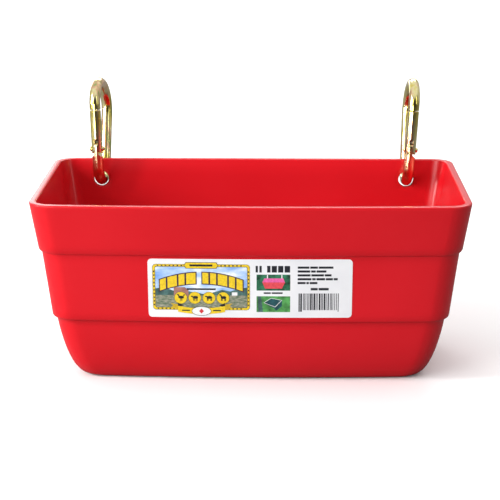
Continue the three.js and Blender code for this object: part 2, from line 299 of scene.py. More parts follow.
def worked(base, steps, bevel=0.0):
    """base joined with or cut by each (operation, bmesh) step, then its sharp edges bevelled."""
    body = scratch(base)
    tools = []
    for operation, bm in steps:
        tool = scratch(bm)
        tools.append(tool)
        modifier = body.modifiers.new("step", "BOOLEAN")
        modifier.operation = operation
        modifier.solver = "EXACT"
        modifier.object = tool
    if bevel:
        modifier = body.modifiers.new("bevel", "BEVEL")
        modifier.width = bevel
        modifier.segments = 2
        modifier.limit_method = "ANGLE"
        modifier.angle_limit = math.radians(40)
    graph = bpy.context.evaluated_depsgraph_get()
    result = bmesh.new()
    result.from_object(body, graph)
    bmesh.ops.remove_doubles(result, verts=result.verts, dist=1e-4)
    for obj in [body, *tools]:
        mesh = obj.data
        bpy.data.objects.remove(obj)
        bpy.data.meshes.remove(mesh)
    return result


def add_rings(bm, rings, closed_ends=True):
    """Skins a list of rings of points, all with the same count."""
    made = [[bm.verts.new(p) for p in ring] for ring in rings]
    count = len(rings[0])
    for low, high in zip(made, made[1:]):
        for i in range(count):
            j = (i + 1) % count
            bm.faces.new((low[i], low[j], high[j], high[i]))
    if closed_ends:
        bm.faces.new(list(reversed(made[0])))
        bm.faces.new(made[-1])
    return made


def turned(profile, sides=40, axis="z"):
    """A turned solid from (radius, height) points, with flat ends."""
    bm = bmesh.new()
    rings = []
    for radius, height in profile:
        ring = []
        for i in range(sides):
            angle = 2 * math.pi * i / sides
            across, along = radius * math.cos(angle), radius * math.sin(angle)
            ring.append((across, along, height) if axis == "z" else (across, height, -along))
        rings.append(ring)
    add_rings(bm, rings)
    bmesh.ops.recalc_face_normals(bm, faces=bm.faces)
    return bm


def block(x, y, z):
    bm = bmesh.new()
    corners = [(x[0], y[0]), (x[1], y[0]), (x[1], y[1]), (x[0], y[1])]
    add_rings(bm, [[(a, b, height) for a, b in corners] for height in z])
    return bm


def slab(outline, thickness):
    """An outline in x and z, extruded along y and centred on y = 0."""
    bm = bmesh.new()
    half = thickness / 2
    add_rings(bm, [[(x, y, z) for x, z in outline] for y in (-half, half)])
    return bm


def arc(centre, radius, start, end, steps):
    """Points on an arc, with angles in degrees."""
    points = []
    for i in range(steps + 1):
        angle = math.radians(start + (end - start) * i / steps)
        points.append((centre[0] + radius * math.cos(angle), centre[1] + radius * math.sin(angle)))
    return points


# ------------------------------------------------------------------ trough


def curve_in(height, curve):
    drop = max(0.0, 1 - height / curve["height"])
    return curve["width"] * (1 - math.sqrt(1 - drop * drop))


def outer_inset(z):
    top, middle, bottom = BAND_DRAFT
    inset = (HEIGHT - max(z, UPPER_LEDGE["z"])) * top
    if z >= UPPER_LEDGE["z"]:
        return inset
    inset += UPPER_LEDGE["width"] + (UPPER_LEDGE["z"] - max(z, LOWER_LEDGE["z"])) * middle
    if z >= LOWER_LEDGE["z"]:
        return inset
    return inset + LOWER_LEDGE["width"] + (LOWER_LEDGE["z"] - z) * bottom + curve_in(z, BASE_CURVE)


def inner_inset(z):
    return RIM_WIDTH + (HEIGHT - z) * INNER_DRAFT + curve_in(z - FLOOR_THICKNESS, INNER_CURVE)


def bow(x, half_length):
    return FRONT_BOW * max(0.0, 1 - (x / half_length) ** 2)


def hole_stations():
    """Where the hole patches' columns lie on the back wall, as shares of its straight half."""
    straight = HALF_LENGTH - outer_inset(HOLE_Z) - CORNER_RADIUS
    columns = [HOLE_X + HOLE_PATCH * (2 * i / HOLE_CELLS - 1) for i in range(HOLE_CELLS + 1)]
    return [x / straight for x in columns]


def plan_stations():
    """The outline's stations, anticlockwise: each is a corner and an angle, or a side and a share of it."""
    corner_steps = 14
    patch = hole_stations()
    middle = [patch[0] * i / 9 for i in range(-8, 9)]
    back = sorted([*patch, *middle, *(-s for s in patch)], reverse=True)
    ends = [i / 6 for i in range(5, -6, -1)]
    front = [i / 28 for i in range(-27, 28)]
    stations = []
    sides = [("back", back), ("left", ends), ("front", front), ("right", list(reversed(ends)))]
    for quarter, (side, shares) in enumerate(sides):
        for i in range(corner_steps + 1):
            stations.append((quarter, (quarter + i / corner_steps) * math.pi / 2))
        stations += [(side, share) for share in shares]
    return stations


STATIONS = plan_stations()
CORNER_SIGNS = [(1, 1), (-1, 1), (-1, -1), (1, -1)]


def plan_point(station, inset, radius):
    where, value = station
    a, b = HALF_LENGTH - inset, HALF_WIDTH - inset
    if isinstance(where, int):
        sx, sy = CORNER_SIGNS[where]
        x = sx * (a - radius) + radius * math.cos(value)
        y = sy * (b - radius) + radius * math.sin(value)
    elif where in ("back", "front"):
        x, y = value * (a - radius), b if where == "back" else -b
    else:
        x, y = a if where == "right" else -a, value * (b - radius)
    return x, y - bow(x, a) if y < 0 else y


def plan_ring(inset, z, radius):
    return [(*plan_point(station, inset, radius), z) for station in STATIONS]


def ledge_profile(ledge):
    """From the band below up round a ledge: small fillet, flat, rounded lower edge of the band above."""
    wall = outer_inset(ledge["z"])
    below = wall + ledge["width"]
    z = ledge["z"]
    near = LEDGE_FILLET * 0.3
    points = [(below, z - LEDGE_FILLET), (below - near, z - near), (below - LEDGE_FILLET, z)]
    reach = ledge["width"] - LEDGE_FILLET
    for i in range(1, 7):
        t = math.radians(15 * i)
        points.append((wall + reach * (1 - math.sin(t)), z + LEDGE_ROUND * (1 - math.cos(t))))
    top = points[-1]
    points[-1] = (outer_inset(top[1]), top[1])
    return points


def patch_heights():
    return [HOLE_Z + HOLE_PATCH * (2 * i / HOLE_CELLS - 1) for i in range(HOLE_CELLS + 1)]


def outer_profile():
    """(inset, z) up the outside, from the flat underside to the rim."""
    low = LOWER_LEDGE["z"] - LEDGE_FILLET - 1
    sweep = math.degrees(math.acos(1 - low / BASE_CURVE["height"]))
    steps = 20
    angles = [math.radians(sweep * i / steps) for i in range(steps + 1)]
    heights = [BASE_CURVE["height"] * (1 - math.cos(angle)) for angle in angles]
    points = [(outer_inset(z), z) for z in heights]
    points += ledge_profile(LOWER_LEDGE)
    between = (UPPER_LEDGE["z"] - LOWER_LEDGE["z"]) / 8
    points += [(outer_inset(z), z) for z in (LOWER_LEDGE["z"] + between * i for i in range(1, 8))]
    points += ledge_profile(UPPER_LEDGE)
    points += [(outer_inset(z), z) for z in (UPPER_BAND_LEVEL, *patch_heights(), HEIGHT - RIM_SHOULDER)]
    for i in range(5):
        t = math.radians(22.5 * i)
        z = HEIGHT - RIM_ROUND + RIM_ROUND * math.sin(t)
        points.append((outer_inset(HEIGHT - RIM_ROUND) + RIM_ROUND * (1 - math.cos(t)), z))
    return points


def inner_profile():
    """(inset, z) down the inside, from the rim to the floor."""
    points = []
    edge = inner_inset(HEIGHT - RIM_ROUND)
    for i in range(5):
        t = math.radians(90 - 22.5 * i)
        points.append((edge - RIM_ROUND * (1 - math.cos(t)), HEIGHT - RIM_ROUND + RIM_ROUND * math.sin(t)))
    heights = [HEIGHT - RIM_SHOULDER, *reversed(patch_heights()), *INNER_LEVELS]
    points += [(inner_inset(z), z) for z in heights]
    steps = 20
    for i in range(steps + 1):
        drop = math.cos(math.radians(90 * (1 - i / steps)))
        z = FLOOR_THICKNESS + INNER_CURVE["height"] * (1 - drop)
        points.append((inner_inset(z), z))
    return points


def trough():
    outer, inner = outer_profile(), inner_profile()
    rings = [plan_ring(inset, z, CORNER_RADIUS) for inset, z in outer]
    rings += [plan_ring(inset, z, INNER_CORNER_RADIUS) for inset, z in inner]
    # The flat underside and the floor close in with smaller copies of their outlines.
    underside = plan_ring(outer[0][0], 0.0, CORNER_RADIUS)
    inside = plan_ring(inner[-1][0], FLOOR_THICKNESS, INNER_CORNER_RADIUS)
    closing_shares = (0.9, 0.6, 0.3)
    for share in closing_shares:
        rings.insert(0, [(x * share, y * share, z) for x, y, z in underside])
        rings.append([(x * share, y * share, z) for x, y, z in inside])
    bm = bmesh.new()
    made = [[bm.verts.new(p) for p in ring] for ring in rings]
    count = len(STATIONS)
    columns = [i for i, (where, _) in enumerate(STATIONS) if where == "back"]
    patches = [columns[: HOLE_CELLS + 1], columns[-HOLE_CELLS - 1 :]]
    rows = {False: [], True: []}
    for r, ring in enumerate(rings):
        z = ring[0][2]
        if any(abs(z - height) < 1e-6 for height in patch_heights()):
            rows[r >= len(outer) + len(closing_shares)].append(r)
    skipped = {(r, c) for face in rows.values() for r in face[:-1] for patch in patches for c in patch[:-1]}
    for r in range(len(made) - 1):
        for i in range(count):
            if (r, i) not in skipped:
                j = (i + 1) % count
                bm.faces.new((made[r][i], made[r][j], made[r + 1][j], made[r + 1][i]))
    bm.faces.new(list(reversed(made[0])))
    bm.faces.new(made[-1])
    for patch in patches:
        add_hole(bm, made, rows, patch)
    loose = [v for v in bm.verts if not v.link_faces]
    bmesh.ops.delete(bm, geom=loose, context="VERTS")
    bmesh.ops.recalc_face_normals(bm, faces=bm.faces)
    return bm


def add_hole(bm, made, rows, patch):
    """Fills a square gap in both faces of the back wall with rings round a clip hole."""
    x_side = math.copysign(HOLE_X, made[rows[False][0]][patch[0]].co.x)
    edges = {}
    for inside in (False, True):
        face = sorted(rows[inside], key=lambda r: made[r][0].co.z)
        grid = [[made[r][c] for c in patch] for r in face]
        border = grid[0][:-1] + [row[-1] for row in grid[:-1]]
        border += grid[-1][:0:-1] + [row[0] for row in grid[:0:-1]]
        slope = INNER_DRAFT if inside else BAND_DRAFT[0]
        way = 1 if inside else -1
        level = border[0].co.y - slope * border[0].co.z
        loops = [border]
        reach = HOLE_RADIUS + HOLE_EDGE
        for radius, depth, mix in (
            (reach + 2.0, 0.0, 0.45),
            (reach, 0.0, 1.0),
            (HOLE_RADIUS + HOLE_EDGE * 0.3, HOLE_EDGE * 0.3, 1.0),
            (HOLE_RADIUS, HOLE_EDGE, 1.0),
        ):
            loop = []
            for v in border:
                dx, dz = v.co.x - x_side, v.co.z - HOLE_Z
                length = math.hypot(dx, dz)
                far = length + (radius - length) * mix
                x, z = x_side + dx / length * far, HOLE_Z + dz / length * far
                loop.append(bm.verts.new((x, level + slope * z + way * depth, z)))
            loops.append(loop)
        for first, second in zip(loops, loops[1:]):
            bridge(bm, first, second)
        edges[inside] = loops[-1]
    bridge(bm, edges[False], edges[True])


def bridge(bm, first, second):
    for i in range(len(first)):
        j = (i + 1) % len(first)
        bm.faces.new((first[i], first[j], second[j], second[i]))


piece("trough_shell", trough(), [RED], "trough", ["trough_body"], sharp=50)


# ------------------------------------------------------------------ label


def wall_y(x, z):
    """The front wall's y on its middle band."""
    inset = outer_inset(z)
    return -(HALF_WIDTH - inset) - bow(x, HALF_LENGTH - inset)


def on_wall(target, outline, low, high, material=0):
    """Adds a thin plate to target: an outline in label millimetres, laid on the bowed front wall.

    Label millimetres run right and up from the label's lower left corner."""
    bm = bmesh.new()
    corners = [bm.verts.new((x - LABEL["length"] / 2, 0, z + LABEL["bottom"])) for x, z in outline]
    bm.faces.new(corners)
    spacing = 4.0
    first = math.ceil(min(v.co.x for v in bm.verts) / spacing)
    last = math.floor(max(v.co.x for v in bm.verts) / spacing)
    for i in range(first, last + 1):
        geometry = [*bm.verts, *bm.edges, *bm.faces]
        cut = (i * spacing, 0, 0)
        bmesh.ops.bisect_plane(bm, geom=geometry, dist=1e-5, plane_co=cut, plane_no=(1, 0, 0))
    front = bmesh.ops.extrude_face_region(bm, geom=list(bm.faces))["geom"]
    raised = {v for v in front if isinstance(v, bmesh.types.BMVert)}
    for v in bm.verts:
        v.co.y = wall_y(v.co.x, v.co.z) - (high if v in raised else low)
    bmesh.ops.recalc_face_normals(bm, faces=bm.faces)
    copies = {v: target.verts.new(v.co) for v in bm.verts}
    for face in bm.faces:
        copy = target.faces.new([copies[v] for v in face.verts])
        copy.material_index = material
    bm.free()


def rounded(x0, z0, x1, z1, radius, steps=6):
    left, right, low, high = x0 + radius, x1 - radius, z0 + radius, z1 - radius
    points = []
    for quarter, centre in enumerate([(right, high), (left, high), (left, low), (right, low)]):
        points += arc(centre, radius, 90 * quarter, 90 * quarter + 90, steps)
    return points


def rectangle(x0, z0, x1, z1):
    return [(x0, z0), (x1, z0), (x1, z1), (x0, z1)]


def ellipse(cx, cz, rx, rz, steps=28):
    return [(cx + rx * x, cz + rz * z) for x, z in arc((0, 0), 1, 0, 360 - 360 / steps, steps - 1)]


class Print:
    """The label's printed shapes, in layers that each rise INK above the one below."""

    def __init__(self):
        self.bm = bmesh.new()
        self.materials = []
        self.names = {}

    def color(self, name, material):
        self.names[name] = len(self.materials)
        self.materials.append(material)

    def draw(self, outline, color, layer=1):
        top = LABEL_THICKNESS + INK * layer
        on_wall(self.bm, outline, LABEL_THICKNESS - INK, top, self.names[color])


def label_base():
    bm = bmesh.new()
    outline = rounded(0, 0, LABEL["length"], LABEL["top"] - LABEL["bottom"], LABEL["corner"])
    on_wall(bm, outline, 0.02, LABEL_THICKNESS)
    return bm


def dashed_frame(sheet, x0, z0, x1, z1):
    """The picture's border: a yellow band edged dark, with short dark dashes along its middle."""
    band = 1.5
    sheet.draw(rounded(x0, z0, x1, z1, 2.4), "dark", 1)
    sheet.draw(rounded(x0 + 0.25, z0 + 0.25, x1 - 0.25, z1 - 0.25, 2.2), "yellow", 2)
    step, dash = 2.6, 1.1
    middle, thick = band / 2 + 0.2, 0.8
    count = int((x1 - x0 - 6) / step)
    for i in range(count):
        x = x0 + 3 + i * step
        for z in (z0 + middle, z1 - middle):
            sheet.draw(rectangle(x, z - thick / 2, x + dash, z + thick / 2), "dark", 3)
    for i in range(int((z1 - z0 - 6) / step)):
        z = z0 + 3 + i * step
        for x in (x0 + middle, x1 - middle):
            sheet.draw(rectangle(x - thick / 2, z, x + thick / 2, z + dash), "dark", 3)
    inner = band + 0.1
    sheet.draw(rounded(x0 + inner, z0 + inner, x1 - inner, z1 - inner, 1.2), "dark", 3)


def landscape(sheet, x0, z0, x1, z1):
    """Sky, far hills, a barn roof and a field, as flat printed shapes."""
    sheet.draw(rounded(x0, z0, x1, z1, 1.1), "sky", 4)
    width, height = x1 - x0, z1 - z0
    ridge = [0.46, 0.5, 0.42, 0.37, 0.40, 0.36, 0.33, 0.38, 0.44, 0.40, 0.47, 0.5]
    hills = [(x0 + width * i / (len(ridge) - 1), z0 + height * level) for i, level in enumerate(ridge)]
    sheet.draw([(x0, z0 + 4), (x1, z0 + 4), *reversed(hills)], "hill", 5)
    sheet.draw(rounded(x0, z0, x1, z0 + height * 0.3, 1.1), "field", 6)
    roof_left, roof_right = x0 + width * 0.2, x0 + width * 0.36
    base, top = z0 + height * 0.26, z0 + height * 0.5
    barn = [(roof_left, base), (roof_right, base), (roof_right, top - 2)]
    barn += [(roof_right - 2.5, top), (roof_left, top)]
    sheet.draw(barn, "brick", 7)
    sheet.draw(rectangle(x1 - 10, z0 + height * 0.3, x1 - 6.4, z0 + height * 0.38), "white", 7)


def banner(sheet, cx, z_middle, half, rise, thick, blocks):
    """An arched row of plain blocks where the original has its lettering."""
    edge = 0.7

    def height(x, offset):
        return z_middle + rise * (1 - ((x - cx) / half) ** 2) + offset

    def patch(x0, x1, low, high, color, layer):
        xs = [x0 + (x1 - x0) * i / 6 for i in range(7)]
        lower = [(x, height(x, low)) for x in xs]
        upper = [(x, height(x, high)) for x in reversed(xs)]
        sheet.draw(lower + upper, color, layer)

    for start, end in blocks:
        x0, x1 = cx + half * start, cx + half * end
        patch(x0 - edge, x1 + edge, -thick / 2 - edge, thick / 2 + edge, "plum", 8)
        patch(x0, x1, -thick / 2, thick / 2, "yellow", 9)


def animal(sheet, cx, cz, size, kind):
    """A small dark farm-animal shape made of a body, legs, neck and head."""
    body = ellipse(cx, cz, size * 0.42, size * 0.24, 16)
    sheet.draw(body, "dark", 10)
    legs = {"bird": (-0.06, 0.1), "sheep": (-0.28, -0.14, 0.12, 0.28), "cow": (-0.32, -0.2, 0.2, 0.32)}
    for leg in legs.get(kind, (-0.3, -0.2, 0.18, 0.28)):
        x = cx + size * leg
        sheet.draw(rectangle(x - size * 0.045, cz - size * 0.55, x + size * 0.045, cz), "dark", 11)
    lift = {"bird": 0.42, "sheep": 0.16, "cow": 0.18}.get(kind, 0.42)
    head = (cx - size * 0.48, cz + size * lift)
    neck = [(cx - size * 0.2, cz), (cx - size * 0.38, cz - size * 0.04)]
    neck += [(head[0], head[1]), (head[0] + size * 0.16, head[1])]
    sheet.draw(list(reversed(neck)), "dark", 11)
    sheet.draw(ellipse(head[0] - size * 0.03, head[1], size * 0.15, size * 0.1, 12), "dark", 12)
    if kind == "bird":
        tail = [(cx + size * 0.25, cz), (cx + size * 0.62, cz + size * 0.42)]
        tail.append((cx + size * 0.4, cz + size * 0.48))
        sheet.draw(tail, "dark", 12)


def ribbon(sheet, cx, cz):
    """A yellow ribbon with folded tails, and over it a plain white oval with a red diamond."""
    for side in (-1, 1):
        tail = [(cx + side * 12.5, cz + 1.2), (cx + side * 20.5, cz + 2.8), (cx + side * 18.6, cz + 4.4)]
        tail += [(cx + side * 20.5, cz + 6.2), (cx + side * 12.5, cz + 4.6)]
        sheet.draw(tail if side > 0 else list(reversed(tail)), "amber", 10)
        fold = [(cx + side * 11.5, cz + 4.6), (cx + side * 15.5, cz + 3.2), (cx + side * 15.5, cz + 6.4)]
        sheet.draw(fold if side > 0 else list(reversed(fold)), "dark", 11)
    xs = [cx - 15.5 + 31 * i / 12 for i in range(13)]

    def sag(x):
        return cz - 1.6 * (1 - ((x - cx) / 15.5) ** 2)

    sheet.draw([(x, sag(x)) for x in xs] + [(x, sag(x) + 4.2) for x in reversed(xs)], "yellow", 12)
    for side in (-1, 1):
        x = cx + side * 10.2
        sheet.draw(rectangle(x - 2.6, cz + 0.6, x + 2.6, cz + 1.5), "dark", 13)
    sheet.draw(ellipse(cx, cz + 0.6, 6.5, 3.3), "dark", 13)
    sheet.draw(ellipse(cx, cz + 0.6, 6.2, 3.0), "white", 14)
    sheet.draw([(cx - 1.6, cz + 0.6), (cx, cz - 1.2), (cx + 1.6, cz + 0.6), (cx, cz + 2.4)], "red", 15)


def word_bars(sheet, x, z, height, widths, gap=0.7):
    """A line of type as plain bars, one to a word."""
    for width in widths:
        sheet.draw(rectangle(x, z, x + width, z + height), "dark", 1)
        x += width + gap


def small_pictures(sheet):
    """Two small pictures: a trough on a fence, and an empty one from above."""
    x0, x1 = 71.3, 93.4
    sheet.draw(rectangle(x0, 19.2, x1, 30.4), "leaf", 1)
    for x in (x0 + 6.8, x0 + 16.2):
        sheet.draw(rectangle(x, 27.6, x + 0.7, 30.2), "white", 2)
    body = [(x0 + 5.6, 20.6), (x0 + 16.6, 20.6), (x0 + 18.6, 25.0), (x0 + 3.8, 25.0)]
    sheet.draw(body, "coral", 2)
    top = [(x0 + 3.8, 25.0), (x0 + 18.6, 25.0), (x0 + 17.6, 27.8), (x0 + 5.0, 27.8)]
    sheet.draw(top, "pink", 3)
    sheet.draw(rectangle(x0, 4.0, x1, 15.2), "grass", 1)
    sheet.draw([(x0 + 1.2, 4.0), (x0 + 4.2, 4.0), (x0 + 3.0, 15.2), (x0 + 0.8, 15.2)], "hill", 2)
    box = [(x0 + 4.6, 10.6), (x0 + 11.6, 6.6), (x0 + 12.8, 4.8), (x0 + 16.6, 8.2), (x0 + 16.8, 12.4)]
    sheet.draw(box, "teal", 2)
    sheet.draw([(x0 + 4.6, 10.6), (x0 + 12.2, 7.4), (x0 + 16.8, 12.4), (x0 + 9.6, 14.0)], "white", 3)
    sheet.draw([(x0 + 5.1, 10.6), (x0 + 12.1, 7.8), (x0 + 16.3, 12.3), (x0 + 9.6, 13.7)], "teal", 4)
    word_bars(sheet, x0 + 4.7, 16.9, 1.1, (4.6, 7.2), 0.6)


def bar_code(sheet, x0, z0, x1, z1):
    """Upright bars of made-up widths, with no digits."""
    rng = random.Random(7)
    x = x0
    while x < x1 - 1.0:
        width = rng.choice((0.45, 0.5, 0.8, 1.1))
        edge = x < x0 + 1.4 or x > x1 - 2.2
        sheet.draw(rectangle(x, z0 - (1.1 if edge else 0), x + width, z1), "dark", 1)
        x += width + rng.choice((0.35, 0.45, 0.7))


def label_print():
    sheet = Print()
    sheet.color("dark", ink("ink_dark", (0.012, 0.013, 0.02), 0.3))
    sheet.color("plum", ink("ink_plum", (0.05, 0.025, 0.06), 0.3))
    sheet.color("yellow", ink("ink_yellow", (0.8, 0.56, 0.02)))
    sheet.color("amber", ink("ink_amber", (0.55, 0.36, 0.02)))
    sheet.color("red", ink("ink_red", (0.6, 0.03, 0.04)))
    sheet.color("white", ink("ink_white", (0.85, 0.85, 0.86), 0.05))
    sheet.color("sky", sky_ink())
    sheet.color("hill", ink("ink_hill", (0.06, 0.13, 0.12), 0.4, 260))
    sheet.color("field", field_ink())
    sheet.color("brick", ink("ink_brick", (0.34, 0.16, 0.13), 0.2, 300))
    sheet.color("leaf", ink("ink_leaf", (0.02, 0.12, 0.06), 0.7, 260))
    sheet.color("grass", ink("ink_grass", (0.07, 0.27, 0.07), 0.5, 260))
    sheet.color("pink", ink("ink_pink", (0.78, 0.12, 0.36)))
    sheet.color("coral", ink("ink_coral", (0.72, 0.07, 0.09)))
    sheet.color("teal", ink("ink_teal", (0.015, 0.075, 0.09), 0.3, 300))

    x0, z0, x1, z1 = 3.0, 5.2, 67.0, 37.4
    dashed_frame(sheet, x0, z0, x1, z1)
    landscape(sheet, x0 + 1.9, z0 + 1.9, x1 - 1.9, z1 - 1.9)
    middle = (x0 + x1) / 2
    blocks = [(-0.97, -0.83), (-0.79, -0.57), (-0.53, -0.39), (-0.35, -0.13)]
    blocks += [(0.03, 0.17), (0.21, 0.35), (0.39, 0.61), (0.65, 0.79), (0.83, 0.97)]
    banner(sheet, middle, 22.2, 28.0, 5.6, 7.6, blocks)
    tab = [(middle - 11.4, 36.6), (middle - 10, 38.8), (middle + 10, 38.8), (middle + 11.4, 36.6)]
    tab += [(middle + 10, 34.4), (middle - 10, 34.4)]
    sheet.draw(list(reversed(tab)), "dark", 10)
    inner_tab = [(middle + (x - middle) * 0.97, 36.6 + (z - 36.6) * 0.86) for x, z in tab]
    sheet.draw(list(reversed(inner_tab)), "yellow", 11)
    sheet.draw(rectangle(middle - 7.5, 35.9, middle + 7.5, 37.3), "dark", 12)
    sheet.draw(rectangle(middle - 9.5, 19.4, middle + 9.5, 20.6), "dark", 8)
    for x, kind in zip((21.4, 30.7, 40.0, 49.3), ("bird", "sheep", "cow", "goat")):
        sheet.draw(ellipse(x, 13.8, 4.3, 4.3), "dark", 8)
        sheet.draw(ellipse(x, 13.8, 4.1, 4.1), "yellow", 9)
        animal(sheet, x + 0.3, 14.2, 4.4, kind)
    ribbon(sheet, middle, 3.9)

    word_bars(sheet, 70.7, 31.9, 4.6, (1.5, 1.5), 1.0)
    word_bars(sheet, 78.2, 31.9, 4.6, (2.2, 3.4, 3.4, 3.6), 0.8)
    small_pictures(sheet)
    lines = [(7.6, 5.0, 9.6), (8.2, 3.0, 6.4), (8.4, 8.2, 4.4), (9.0, 2.2, 5.6, 4.6, 2.6), (5.2, 1.6, 5.0)]
    for i, widths in enumerate(lines):
        word_bars(sheet, 98.2, 34.6 - 2.7 * i, 1.5, widths, 0.55)
    word_bars(sheet, 106.8, 19.4, 1.7, (4.6, 6.6), 0.6)
    bar_code(sheet, 98.9, 5.4, 126.0, 17.2)
    return sheet


piece("label_film", label_base(), [FILM], "trough", ["front_label"])
printing = label_print()
piece("label_printing", printing.bm, printing.materials, "trough")


# ------------------------------------------------------------------ clips
# A clip is drawn standing in its own x-z plane: x towards the gate, z up, and z = 0 at the lowest
# point of the wire's centre line. The gate's own frame has z along the gate and its origin at the rivet.

TOP = CLIP_LENGTH - WIRE
NOSE_CENTRE = (BACK_BOW_RADIUS - LOWER_BOW_RADIUS, TOP - NOSE_BOW_RADIUS)
GATE_LEAN = math.atan2(NOSE_CENTRE[0], NOSE_CENTRE[1] - LOWER_BOW_RADIUS) + math.asin(
    (NOSE_BOW_RADIUS - LOWER_BOW_RADIUS) / math.hypot(NOSE_CENTRE[0], NOSE_CENTRE[1] - LOWER_BOW_RADIUS)
)
GATE_TOP = (SPLIT_HEIGHT - RIVET_HEIGHT) / math.cos(GATE_LEAN)
SPRING_LOW = TONGUE["top"] + GAP + PLUNGER["length"] + GAP
SPRING_HIGH = BORE["top"] - GAP


def gate_line(z):
    touch_x = LOWER_BOW_RADIUS * math.cos(GATE_LEAN)
    touch_z = LOWER_BOW_RADIUS * (1 - math.sin(GATE_LEAN))
    return touch_x + (z - touch_z) * math.tan(GATE_LEAN), z


RIVET_PLACE = (gate_line(RIVET_HEIGHT)[0], 0, RIVET_HEIGHT)
GATE_PLACE = Matrix.Translation(RIVET_PLACE) @ Matrix.Rotation(GATE_LEAN, 4, "Y")


def clip_place(side):
    """The clip's frame, from its gate's hinge and its plunger's slide."""
    across = -Vector(joints[f"{side}_gate_open"]["axis"])
    along = Vector(joints[f"{side}_plunger_slide"]["axis"])
    outward = across.cross(along)
    x = along * math.sin(GATE_LEAN) + outward * math.cos(GATE_LEAN)
    z = along * math.cos(GATE_LEAN) - outward * math.sin(GATE_LEAN)
    turn = Matrix((x, across, z)).transposed()
    rivet_x, rivet_z = gate_line(RIVET_HEIGHT)
    origin = Vector(joints[f"{side}_gate_open"]["pos_m"]) / MM - turn @ Vector((rivet_x, 0, rivet_z))
    return Matrix.Translation(origin) @ turn.to_4x4()


def wire_line():
    """The wire's centre line: nose, upper bow, spine, lower bow, and up to the tongue's top."""
    lean = math.degrees(GATE_LEAN)
    points = [gate_line(SPLIT_HEIGHT - 1), gate_line(SPLIT_HEIGHT + 1)]
    points += arc(NOSE_CENTRE, NOSE_BOW_RADIUS, -lean, 90, 30)
    points += arc((NOSE_CENTRE[0], TOP - BACK_BOW_RADIUS), BACK_BOW_RADIUS, 90, 180, 30)[1:]
    high, low = TOP - BACK_BOW_RADIUS, LOWER_BOW_RADIUS
    points += [(-LOWER_BOW_RADIUS, high + (low - high) * i / 8) for i in range(1, 8)]
    points += arc((0, LOWER_BOW_RADIUS), LOWER_BOW_RADIUS, 180, 360 - lean, 44)
    start = gate_line(points[-1][1])
    rise = RIVET_HEIGHT + TONGUE["top"] * math.cos(GATE_LEAN) - start[1]
    points += [gate_line(start[1] + rise * i / 6) for i in range(1, 7)]
    return points


def swept(line, radius, sides=40):
    """A round wire along a line in the x-z plane."""
    bm = bmesh.new()
    rings = []
    for i, (x, z) in enumerate(line):
        before, after = line[max(0, i - 1)], line[min(len(line) - 1, i + 1)]
        way = Vector((after[0] - before[0], after[1] - before[1])).normalized()
        ring = []
        for k in range(sides):
            angle = 2 * math.pi * k / sides
            out, across = radius * math.cos(angle), radius * math.sin(angle)
            ring.append((x + way.y * out, across, z - way.x * out))
        rings.append(ring)
    add_rings(bm, rings)
    bmesh.ops.recalc_face_normals(bm, faces=bm.faces)
    return bm


def at_gate(bm):
    bmesh.ops.transform(bm, matrix=GATE_PLACE, verts=bm.verts)
    return bm


def hook_wire():
    """The bent wire: a square nose with a latch slot, and a flattened tongue between sloping shoulders."""
    steps = []
    nose_end = GATE_TOP + NOSE_GAP
    steps.append(("DIFFERENCE", at_gate(block((-7, 7), (-7, 7), (GATE_TOP - 6, nose_end)))))
    half_latch = LATCH["width"] / 2 + GAP
    along_gate = (nose_end - 1, GATE_TOP + LATCH["length"] + GAP)
    latch_room = block((-WIRE, LATCH["outer"] + GAP), (-half_latch, half_latch), along_gate)
    steps.append(("DIFFERENCE", at_gate(latch_room)))
    half = TONGUE["thickness"] / 2
    low = TONGUE["shoulder"] - TONGUE["shoulder_height"]
    for side in (-1, 1):
        relief = [(half, TONGUE["top"] + 2), (half, TONGUE["shoulder"] + 0.5)]
        relief += [(half + 0.25, TONGUE["shoulder"] - 0.1), (WIRE / 2 - 0.2, low + 0.45)]
        relief.append((WIRE / 2 + 0.1, low))
        relief += [(WIRE, low), (WIRE, TONGUE["top"] + 2)]
        cutter = slab(relief, 2 * WIRE)
        turn = Matrix.Rotation(side * math.pi / 2, 3, "Z")
        bmesh.ops.rotate(cutter, cent=(0, 0, 0), matrix=turn, verts=cutter.verts)
        steps.append(("DIFFERENCE", at_gate(cutter)))
    bend = 3.4
    corner = [(WIRE, TONGUE["top"] + 2), (0.6, TONGUE["top"] + 2)]
    corner += arc((0.6, TONGUE["top"] - bend), bend, 90, 0, 12) + [(WIRE, TONGUE["top"] - bend)]
    steps.append(("DIFFERENCE", at_gate(slab(corner, WIRE))))
    hole = RIVET["shaft"] / 2 + GAP
    steps.append(("DIFFERENCE", at_gate(turned([(hole, -WIRE), (hole, WIRE)], 32, "y"))))
    return worked(swept(wire_line(), WIRE / 2), steps, bevel=0.22)


